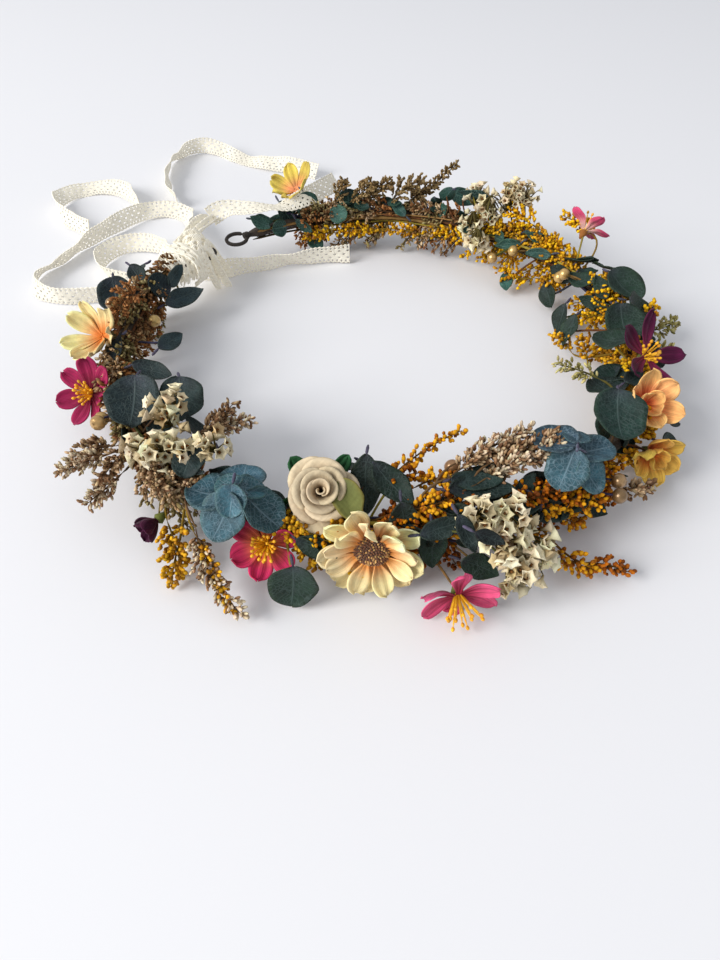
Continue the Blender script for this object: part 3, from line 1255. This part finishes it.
def build_peach_flowers():
    """The two peach flowers, each with an inner ring of steeper petals."""
    heap = Heap("peach_flower_petals_detail")
    for place, length, *inks in PEACH_FLOWERS:
        at = facing(*place)
        corolla(heap, at, 6, 1.2, length, length * 0.68, 36, inks, notch=0.03, cup=0.4)
        corolla(heap, at, 4, 0.6, length * 0.7, length * 0.5, 58, inks, start=30, lift=0.8, cup=0.4)
        calyx(heap, at)
    heap.piece(thick=PETAL_T)


def build_purple_bud():
    """A half open bud that hangs down."""
    heap = Heap("purple_bud_detail")
    at = facing(*PURPLE_BUD_PLACE)
    corolla(heap, at, 5, 0.6, 6.4, 4.8, 58, (rgb(96, 18, 54), rgb(66, 14, 46)), cup=0.5)
    calyx(heap, at)
    heap.piece(thick=PETAL_T)


# ---- dried sprays --------------------------------------------------------------------------------

# tones: pairs of a bud colour and a second one, one pair for each sprig; mixed: share of buds in the second;
# forward: how far the branches lean forward; crowding: buds for each millimetre of branch
Kind = namedtuple("Kind", "bud size tones mixed stem root_shade forward crowding")
KINDS = {
    "goldenrod": Kind(
        BUD, 1.5, [(rgb(226, 178, 26), rgb(182, 124, 14)), (rgb(212, 160, 34), rgb(160, 108, 20))],
        0.35, rgb(120, 96, 30), (0.55, 0.42, 0.26), 0.9, 2.2),
    "rusty": Kind(
        BUD, 1.5, [(rgb(206, 132, 14), rgb(140, 72, 14)), (rgb(176, 98, 18), rgb(116, 62, 20)),
                   (rgb(220, 158, 28), rgb(164, 96, 18))],
        0.4, rgb(104, 72, 28), (0.5, 0.38, 0.24), 0.9, 2.2),
    "grass": Kind(
        SCALE, 1.8, [(rgb(176, 146, 108), rgb(206, 182, 148)), (rgb(148, 96, 54), rgb(180, 128, 80)),
                     (rgb(132, 118, 76), rgb(168, 152, 108)), (rgb(132, 94, 60), rgb(172, 142, 104))],
        0.35, rgb(84, 62, 40), (0.5, 0.42, 0.34), 1.3, 1.9),
    "limonium": Kind(
        SCALE, 1.8, [(rgb(214, 196, 166), rgb(152, 118, 88)), (rgb(186, 158, 124), rgb(128, 96, 68))],
        0.4, rgb(96, 72, 48), (0.36, 0.25, 0.16), 1.5, 3.0),
    "plume": Kind(
        SEED, 1.3, [(rgb(150, 126, 88), rgb(112, 90, 56))],
        0.4, rgb(92, 72, 44), (0.6, 0.55, 0.45), 1.5, 3.0),
    "pale": Kind(
        SCALE, 1.8, [(rgb(188, 178, 124), rgb(142, 132, 76))],
        0.4, rgb(92, 88, 44), (0.6, 0.6, 0.4), 1.1, 2.2),
}
CLUMP_HALF = 8.0         # a sprig of this half width or more is a clump bound round the ring
CLUMP_SPRIGS = 22
SPRIG_R = 0.34           # stem of a sprig, its side branches and its stalk
TWIG_R = 0.17
SPRIG_STALK_R = 0.4
SPRIG_PLACES = {
    # kind, then angle, radius, height, length, half width, azimuth off the tangent, climb
    "end_grass": ("grass", [
        (101, 88, 21, 26, 4.6, 4, -4), (108, 90, 9, 24, 9.3, 2, -2), (119, 89, 9, 18, 8.2, 2, 0),
        (124, 85, 23, 20, 4.4, -8, 0), (131, 89, 8, 26, 8.4, 4, 0)]),
    "side_grass": ("grass", [
        (168, 90, 9, 26, 9.3, 3, 0), (172, 92, 18, 24, 7.0, -4, 0), (150, 88, 8, 22, 8.4, 0, 0)]),
    "side_limonium": ("limonium", [
        (170, 98, 17, 15, 3.0, -95, 4), (174, 99, 15, 13, 3.0, -80, -8), (181, 80, 23, 16, 2.6, 95, 6),
        (192, 99, 15, 27, 3.0, -26, -25), (172, 93, 20, 14, 3.2, -60, 2), (177, 92, 22, 16, 3.4, -20, 2),
        (168, 96, 16, 12, 3.0, -110, 0), (184, 92, 21, 13, 3.0, 10, 0), (180, 76, 20, 14, 2.6, 70, 0)]),
    "front_limonium": ("limonium", [
        (234, 80, 26, 26, 3.4, 12, 3), (239, 83, 25, 24, 3.6, 8, 4), (243, 79, 27, 22, 3.0, 8, 2),
        (237, 76, 27, 24, 3.0, 14, 2), (248, 82, 26, 15, 2.6, 0, 4), (264, 96, 15, 13, 3.0, -30, -14)]),
    "goldenrod_left": ("goldenrod", [
        (192, 100, 14, 24, 1.5, -30, -26), (185, 99, 9, 14, 5.0, -30, -10),
        (189, 102, 7, 11, 4.4, -60, -14), (203, 88, 9, 22, 9.3, 0, 0)]),
    "goldenrod_front": ("rusty", [
        (218, 86, 9, 26, 9.3, 0, 0), (226, 86, 22, 12, 4.6, 10, 10), (223.5, 74, 21, 25, 2.0, 32, 12),
        (228, 77, 20, 14, 3.0, 10, 0), (231, 90, 19, 12, 2.6, -20, 5), (220, 76, 20, 14, 3.6, 20, 4)]),
    "goldenrod_bend": ("rusty", [
        (240, 90, 9, 26, 9.3, 0, 0), (252, 92, 15, 13, 4.2, -20, 0), (249, 99, 9, 13, 3.6, -50, -14),
        (258, 92, 12, 12, 4.0, -10, 0), (253, 105, 5, 13, 2.6, -40, -8),
        (256.5, 90, 9, 14, 8.2, 0, 0)]),
    "goldenrod_right": ("goldenrod", [
        (274, 89, 9, 11, 8.2, 0, 0), (282, 88, 9, 20, 9.3, 0, 0), (296, 86, 9, 26, 9.3, 0, 0),
        (313, 92, 18, 12, 3.4, -40, 10), (304, 74, 9, 14, 3.0, 10, 10), (311, 70, 8, 12, 3.0, 20, 0),
        (316, 88, 9, 24, 9.3, 0, 0)]),
    "goldenrod_back": ("goldenrod", [
        (335, 89, 9, 26, 9.3, 0, 0), (346, 92, 17, 18, 6.0, 6, 4), (354, 92, 22, 16, 6.4, 0, 8),
        (343, 99, 26, 14, 3.4, 20, 14), (349, 82, 8, 14, 4.4, 20, 0)]),
    "goldenrod_inner": ("goldenrod", [
        (352, 90, 9, 28, 9.3, 0, 0), (10, 82, 11, 24, 3.4, 2, 0), (26, 82, 11, 24, 3.2, 2, 0),
        (41, 83, 11, 20, 3.0, 2, 0), (53, 83, 11, 15, 3.0, 2, 0)]),
    "back_grass": ("grass", [
        (14, 90, 9, 26, 9.3, 0, 0), (34, 90, 9, 26, 9.3, 0, 0), (52, 89, 12, 16, 8.2, 0, 0)]),
    "back_plumes": ("plume", [
        (50, 91, 19, 17, 5.0, 155, 44), (38, 92, 19, 20, 5.6, 160, 42), (30, 97, 20, 24, 2.4, 168, 48),
        (54, 91, 18, 12, 4.6, -165, 58), (45, 92, 18, 17, 5.2, 158, 46), (33, 94, 19, 15, 4.6, 165, 40)]),
    "right_sprigs": ("pale", [
        (318, 101, 9, 14, 3.4, -70, 0), (305, 92, 14, 12, 3.0, -60, 0), (284, 76, 24, 14, 2.4, 100, 10)]),
}
STATICE_PLACES = {
    # angle, radius, height, radius of the head, funnels, lean
    "side_statice": [
        (173, 80, 28, 3.8, 13, 30), (176.5, 84, 28, 4.0, 13, 25), (180, 91, 25, 4.8, 18, 30),
        (184, 88, 26, 4.0, 13, 20), (188, 82, 27, 4.2, 15, 20), (176, 93, 22, 4.0, 12, 55)],
    "front_statice": [
        (236.5, 93.5, 25, 4.2, 16, 45), (241.5, 94, 24, 4.8, 20, 45), (239, 99, 20, 5.2, 24, 60),
        (244, 98.5, 17, 4.8, 20, 65), (240.5, 103, 13, 5.2, 22, 80), (245, 102, 12, 4.4, 16, 80)],
    "back_statice": [
        (5.5, 94, 28, 6.0, 34, 15), (9.5, 89, 26, 5.6, 30, 180), (14.5, 94.5, 25.5, 4.6, 20, 22),
        (12, 82, 22, 5.0, 26, 170), (9, 79, 17, 4.6, 22, 175), (2.5, 97, 30, 5.0, 26, 10)],
}
FUNNEL_SIZE = 2.9
FULL_HEAD = 25           # a head of this many funnels or more has smaller ones
SMALL_FUNNEL = 0.85
STATICE_TINT = rgb(236, 225, 192)
STATICE_DRY = rgb(184, 158, 112)
STATICE_THROAT = rgb(110, 70, 32)
STATICE_STALK = rgb(88, 78, 42)
STATICE_T = 0.12


def branch(heap, line, frames, share, around, half, kind):
    """One side branch of a sprig. Returns the places of its buds and the ways they point."""
    rng = heap.rng
    at, tangent, side, other = (along_line(points, [share])[0] for points in (line, *frames))
    out = side * math.cos(around) + other * math.sin(around)
    reach = half * 1.15 * (1.12 - share) ** 0.6 * min(1.0, 0.45 + share * 2.2) * rng.uniform(0.75, 1.15)
    direction = unit(tangent * kind.forward + out)
    end = at + direction * reach * math.sqrt(1 + kind.forward ** 2) * 0.8
    twig = arch(at, end, reach * 0.12, 4)
    tube(heap, twig, TWIG_R, kind.stem, 4, 0.6)
    number = max(int(np.linalg.norm(end - at) * kind.crowding), 3)
    spots = along_line(twig, np.linspace(0.2, 1.0, number))
    spots = spots + rng.normal(size=(number, 3)) * kind.size * 0.16
    axes = direction + out * 0.5 + rng.normal(size=(number, 3)) * 0.45
    return spots, axes


def spray(heap, root, tip, half, kind, density):
    """A sprig from root to tip: a stem with side branches set round it, each carrying buds to its end."""
    rng = heap.rng
    ink, second = kind.tones[rng.integers(len(kind.tones))]
    length = np.linalg.norm(tip - root)
    line = arch(root, tip, length * rng.uniform(-0.04, 0.10), 9, length * 0.05, rng)
    tube(heap, line, SPRIG_R, heap.vary(kind.stem), 5, 0.5, 0.08)
    frames = frames_along(line)
    count = int(5 + length * 0.75 * density)
    buds = []
    for i in range(count):
        share = 0.08 + 0.90 * (i + rng.random()) / count
        buds.append(branch(heap, line, frames, share, i * GOLDEN + rng.random(), half, kind))
    spots, axes = (np.concatenate(part) for part in zip(*buds))
    inks = np.where(rng.random((len(spots), 1)) < kind.mixed, second, ink)
    sizes = kind.size * rng.uniform(0.75, 1.15, len(spots))
    scatter(heap, kind.bud, spots, axes, sizes, inks, kind.root_shade)


def clump(heap, angle, radius, height, length, half, kind):
    """Short sprigs bound all round a stretch of the ring, which hide it and carry it on the table."""
    rng = heap.rng
    arc = math.degrees(length / RING_R)
    for i in range(CLUMP_SPRIGS):
        start = angle + arc * (i + rng.random()) / CLUMP_SPRIGS * 0.85
        finish = start + arc * rng.uniform(0.25, 0.5)
        around = i * GOLDEN + rng.normal() * 0.2
        _, outward = tube_frame(start)
        push = outward * math.cos(around) + UP * math.sin(around)
        root = ring_point(start) + push * TAPE_R
        low = push[2] < 0.0
        reach = half * rng.uniform(0.65, 0.95) if low else rng.uniform(3.5, 7.0)
        tip = ring_point(finish, radius, height if low else RING_Z) + push * reach
        spray(heap, root, tip, half * 0.30, kind, 0.7)


def sprig_ends(angle, radius, height, length, bend, climb):
    """Root and tip of a free sprig."""
    azimuth = math.radians(angle + 90 + bend)
    rise = math.radians(climb)
    level = math.cos(rise)
    direction = np.array((math.cos(azimuth) * level, math.sin(azimuth) * level, math.sin(rise)))
    root = ring_point(angle, radius, height)
    return root, root + direction * length


def build_sprays():
    """Clumps bound round the ring, and free sprigs on bent stalks of their own."""
    for name, (kind_name, places) in SPRIG_PLACES.items():
        heap = Heap(name + "_detail")
        kind = KINDS[kind_name]
        for angle, radius, height, length, half, bend, climb in places:
            if half >= CLUMP_HALF:
                clump(heap, angle, radius, height, length, half, kind)
                continue
            root, tip = sprig_ends(angle, radius, height, length, bend, climb)
            run = bent(ring_point(angle - STALK_SLANT), root - unit(tip - root) * length * 0.5, root)
            tube(heap, run, SPRIG_STALK_R, heap.vary(kind.stem), 5, 0.85, 0.06)
            spray(heap, root, tip, half, kind, 1.2)
        heap.piece()


def statice_head(heap, place, size, number):
    """A loose head: papery funnels at uneven depths, each with a dry brown throat and its own green stalk."""
    rng = heap.rng
    axes = dome(number, 1.15, rng.normal(size=number) * 0.5) @ place[:3, :3].T
    sizes = FUNNEL_SIZE * rng.uniform(0.75, 1.2, number) * (SMALL_FUNNEL if number >= FULL_HEAD else 1)
    reach = size * rng.uniform(0.55, 1.3, number) - sizes * 0.7
    spots = place[:3, 3] + axes * reach[:, None] + rng.normal(size=(number, 3)) * 0.9
    aims = axes + rng.normal(size=(number, 3)) * 0.38
    inks = mix(STATICE_TINT, STATICE_DRY, rng.random((number, 1)) ** 2.5)
    scatter(heap, FUNNEL, spots, aims, sizes, inks, (0.34, 0.26, 0.12))
    throats = spots + unit(aims) * (sizes * 0.5)[:, None]
    scatter(heap, SEED, throats, aims, 1.1, STATICE_THROAT, (0.7, 0.7, 0.6))
    for spot in spots:
        line = arch(place[:3, 3] - place[:3, 2] * size * 0.8, spot, 0.3, 4)
        tube(heap, line, 0.24, heap.vary(STATICE_STALK), 4)


def build_statice():
    """The heads of cream statice."""
    for name, heads in STATICE_PLACES.items():
        heap = Heap(name + "_detail")
        for angle, radius, height, size, number, lean in heads:
            statice_head(heap, facing(angle, radius, height, lean), size, number)
        heap.piece(thick=STATICE_T)


# ---- small trim ----------------------------------------------------------------------------------

PIP_SIZE = 4.4
PIP_TINT = rgb(206, 168, 104)
SEED_BUD_TINT = rgb(158, 126, 86)
PIP_PLACES = {
    "gold_pips_right": [
        (124, 97, 19), (127, 80, 16), (167, 98, 25), (162, 96, 19), (235, 77, 21), (237, 73, 22),
        (262, 100, 17), (264, 97, 18)],
    "gold_pips_left": [
        (357, 80, 16), (336, 78, 20), (339, 80, 16), (2, 76, 12), (36, 96, 14), (33, 97, 16), (56, 94, 17),
        (30, 96, 22)],
}
# the pips that are brown seed buds
SEED_BUDS = ((124, 97, 19), (235, 77, 21), (237, 73, 22), (262, 100, 17), (264, 97, 18))
STALK_TINTS = (rgb(70, 52, 34), rgb(128, 110, 44), rgb(56, 56, 80), rgb(104, 66, 40), rgb(78, 80, 40),
               rgb(120, 92, 54))
STALK_R = 0.42
STALK_SLANT = 5.0
BOUND_STEMS = 18         # long stems that run beside the wire on each half
BEND_CLEAR = 2.5         # degrees that they keep from the front bend
STEM_SPANS = {"left": (FRONT_ANGLE + BEND_CLEAR, END_ANGLES["left"] + 360),
              "right": (END_ANGLES["right"], FRONT_ANGLE - BEND_CLEAR)}
MORE_STALK_TIPS = {
    "left": [row[0][:3] for row in PEACH_FLOWERS],
    "right": [ROSE_PLACE[:3], DAISY_PLACE[:3], *WHORL_STALK_TIPS, PURPLE_BUD_PLACE[:3]],
}


def build_pips():
    """Gold pips and brown seed buds, each on a short wire."""
    for name, places in PIP_PLACES.items():
        heap = Heap(name + "_detail")
        for place in places:
            spot = ring_point(*place)
            axis = unit(spot - ring_point(place[0] - STALK_SLANT))
            tint = SEED_BUD_TINT if place in SEED_BUDS else PIP_TINT
            scatter(heap, BEAD, [spot - axis * PIP_SIZE / 2], [axis], PIP_SIZE, tint, (0.75, 0.7, 0.6))
            wire = arch(spot - axis * PIP_SIZE * 1.3, spot - axis * PIP_SIZE * 0.4, 0, 4)
            tube(heap, wire, 0.3, tint * 0.4, 5)
        heap.piece()


def stalk_tips(side):
    """The places that stalks on one half lead to."""
    rows = [(name, place[:3]) for table in (LEAF_PLACES, PIP_PLACES, STATICE_PLACES)
            for name, places in table.items() for place in places]
    rows += [(name + "_petals", row[0][:3]) for name, row in OPEN_FLOWERS.items()]
    return [tip for name, tip in rows if BODY_OF[name] == side + "_half"] + MORE_STALK_TIPS[side]


def bound_stem(heap, first, last, index):
    """A long stem bound beside the wire over part of one half, wandering a little round it."""
    rng = heap.rng
    start = mix(first, last, rng.uniform(0.0, 0.6))
    angles = np.linspace(start, mix(start, last, rng.uniform(0.3, 1.0)), 60)
    around = index * TAU / BOUND_STEMS + (angles - start) * rng.uniform(-0.03, 0.03)
    reach = TAPE_R + rng.uniform(0.3, 1.3) + 0.6 * np.sin(angles * rng.uniform(0.1, 0.25) + index)
    line = np.array([ring_point(a, RING_R + r * math.cos(t), RING_Z + r * math.sin(t))
                     for a, r, t in zip(angles, reach, around)])
    radius = rng.uniform(0.4, 0.8)
    tube(heap, line, radius, heap.vary(STALK_TINTS[index % len(STALK_TINTS)], 0.2), 6, 0.6, 0.1)


def build_stalks():
    """Stalks from the tape to each flower and leaf, and long stems bound beside the wire."""
    for side, (first, last) in STEM_SPANS.items():
        heap = Heap("stalks_" + side + "_detail")
        rng = heap.rng
        for angle, radius, height in stalk_tips(side):
            root = ring_point(angle - STALK_SLANT) + rng.normal(size=3) * 0.6
            tint = STALK_TINTS[rng.integers(len(STALK_TINTS))]
            line = arch(root, ring_point(angle, radius, height), rng.uniform(-0.4, 1.2), 7, 0.6, rng)
            tube(heap, line, STALK_R, heap.vary(tint, 0.2), 6, 0.8, 0.06)
        for i in range(BOUND_STEMS):
            bound_stem(heap, first, last, i)
        heap.piece()


build_camera()
build_floor()
build_light()
build_lace()
build_knot()
build_wire()
build_tape()
for side in END_ANGLES:
    build_end_loop(side)
build_leaves()
build_rose()
build_daisy_petals()
build_daisy_centre()
build_open_flowers()
build_peach_flowers()
build_purple_bud()
build_sprays()
build_statice()
build_pips()
build_stalks()
